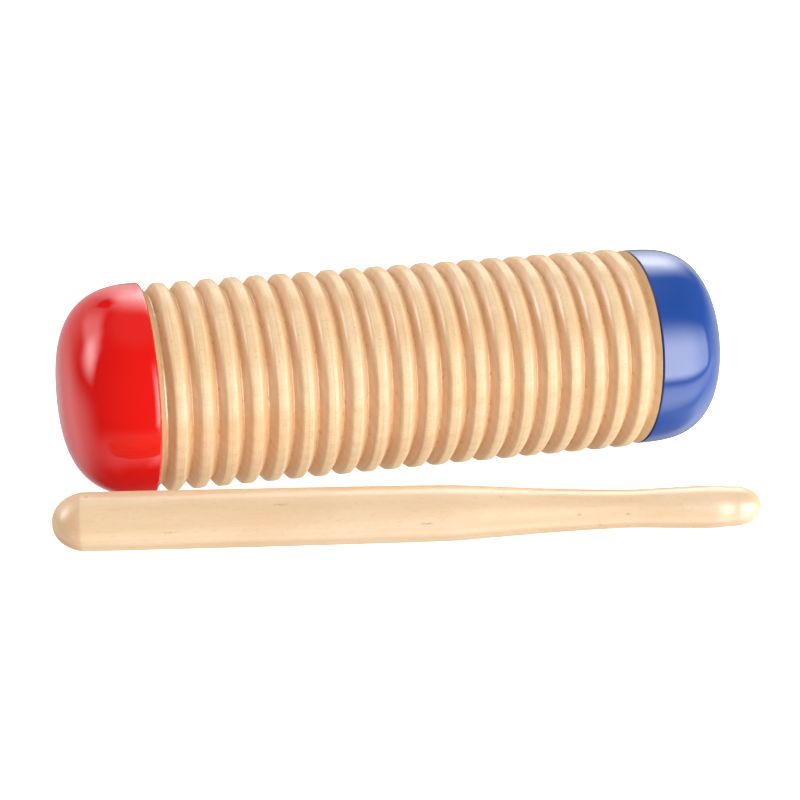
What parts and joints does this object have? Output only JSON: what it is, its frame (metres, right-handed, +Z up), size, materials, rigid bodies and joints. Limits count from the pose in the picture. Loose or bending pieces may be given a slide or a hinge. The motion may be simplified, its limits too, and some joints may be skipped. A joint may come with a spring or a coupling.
{
  "type": "guiro",
  "caption": "Ribbed wooden guiro with a red domed cap on one end and a blue domed cap on the other, loose beads sealed inside, and a tapered wooden scraper stick lying beside it.",
  "frame": {"origin": "centre of the whole set's outline on the table, with the tube and the stick both lying on Z = 0", "axes": "+X along the tube from the red cap to the blue cap, +Y from the stick towards the tube, +Z up from the table"},
  "size_m": [0.2076, 0.114, 0.0622],
  "materials": {
    "tube_wood": "turned pale hardwood under clear gloss lacquer",
    "stick_wood": "smooth sanded pale hardwood with a thin satin lacquer",
    "red_paint": "turned wood under thick gloss red paint",
    "blue_paint": "turned wood under thick gloss blue paint",
    "bead_wood": "plain small turned beads, matt"
  },
  "bodies": {
    "shaker": {"ribbed_tube": "tube_wood", "red_end_cap": "red_paint", "blue_end_cap": "blue_paint"},
    "stick": {"scraper_stick": "stick_wood"},
    "bead_01": {"shaker_bead_01": "bead_wood"},
    "bead_02": {"shaker_bead_02": "bead_wood"},
    "bead_03": {"shaker_bead_03": "bead_wood"},
    "bead_04": {"shaker_bead_04": "bead_wood"},
    "bead_05": {"shaker_bead_05": "bead_wood"},
    "bead_06": {"shaker_bead_06": "bead_wood"},
    "bead_07": {"shaker_bead_07": "bead_wood"},
    "bead_08": {"shaker_bead_08": "bead_wood"},
    "bead_09": {"shaker_bead_09": "bead_wood"},
    "bead_10": {"shaker_bead_10": "bead_wood"},
    "bead_11": {"shaker_bead_11": "bead_wood"},
    "bead_12": {"shaker_bead_12": "bead_wood"},
    "bead_13": {"shaker_bead_13": "bead_wood"},
    "bead_14": {"shaker_bead_14": "bead_wood"},
    "bead_15": {"shaker_bead_15": "bead_wood"},
    "bead_16": {"shaker_bead_16": "bead_wood"},
    "bead_17": {"shaker_bead_17": "bead_wood"},
    "bead_18": {"shaker_bead_18": "bead_wood"},
    "bead_19": {"shaker_bead_19": "bead_wood"},
    "bead_20": {"shaker_bead_20": "bead_wood"}
  },
  "joints": [
    {"name": "scrape_stroke", "type": "slide", "parent": "shaker", "child": "stick", "axis": [1, 0, 0], "range_m": [-0.075, 0.075]},
    {"name": "bead_01_roll", "type": "slide", "parent": "shaker", "child": "bead_01", "axis": [1, 0, 0], "range_m": [-0.015, 0.0109]},
    {"name": "bead_02_roll", "type": "slide", "parent": "shaker", "child": "bead_02", "axis": [1, 0, 0], "range_m": [-0.0109, 0.0149]},
    {"name": "bead_03_roll", "type": "slide", "parent": "shaker", "child": "bead_03", "axis": [1, 0, 0], "range_m": [-0.0169, 0.009]},
    {"name": "bead_04_roll", "type": "slide", "parent": "shaker", "child": "bead_04", "axis": [1, 0, 0], "range_m": [-0.013, 0.013]},
    {"name": "bead_05_roll", "type": "slide", "parent": "shaker", "child": "bead_05", "axis": [1, 0, 0], "range_m": [-0.009, 0.0169]},
    {"name": "bead_06_roll", "type": "slide", "parent": "shaker", "child": "bead_06", "axis": [1, 0, 0], "range_m": [-0.0149, 0.0109]},
    {"name": "bead_07_roll", "type": "slide", "parent": "shaker", "child": "bead_07", "axis": [1, 0, 0], "range_m": [-0.0109, 0.015]},
    {"name": "bead_08_roll", "type": "slide", "parent": "shaker", "child": "bead_08", "axis": [1, 0, 0], "range_m": [-0.017, 0.009]},
    {"name": "bead_09_roll", "type": "slide", "parent": "shaker", "child": "bead_09", "axis": [1, 0, 0], "range_m": [-0.013, 0.0129]},
    {"name": "bead_10_roll", "type": "slide", "parent": "shaker", "child": "bead_10", "axis": [1, 0, 0], "range_m": [-0.0089, 0.0169]},
    {"name": "bead_11_roll", "type": "slide", "parent": "shaker", "child": "bead_11", "axis": [1, 0, 0], "range_m": [-0.0149, 0.011]},
    {"name": "bead_12_roll", "type": "slide", "parent": "shaker", "child": "bead_12", "axis": [1, 0, 0], "range_m": [-0.011, 0.015]},
    {"name": "bead_13_roll", "type": "slide", "parent": "shaker", "child": "bead_13", "axis": [1, 0, 0], "range_m": [-0.017, 0.0089]},
    {"name": "bead_14_roll", "type": "slide", "parent": "shaker", "child": "bead_14", "axis": [1, 0, 0], "range_m": [-0.0129, 0.0129]},
    {"name": "bead_15_roll", "type": "slide", "parent": "shaker", "child": "bead_15", "axis": [1, 0, 0], "range_m": [-0.0089, 0.017]},
    {"name": "bead_16_roll", "type": "slide", "parent": "shaker", "child": "bead_16", "axis": [1, 0, 0], "range_m": [-0.015, 0.011]},
    {"name": "bead_17_roll", "type": "slide", "parent": "shaker", "child": "bead_17", "axis": [1, 0, 0], "range_m": [-0.011, 0.0149]},
    {"name": "bead_18_roll", "type": "slide", "parent": "shaker", "child": "bead_18", "axis": [1, 0, 0], "range_m": [-0.0169, 0.0089]},
    {"name": "bead_19_roll", "type": "slide", "parent": "shaker", "child": "bead_19", "axis": [1, 0, 0], "range_m": [-0.0129, 0.013]},
    {"name": "bead_20_roll", "type": "slide", "parent": "shaker", "child": "bead_20", "axis": [1, 0, 0], "range_m": [-0.009, 0.017]}
  ]
}
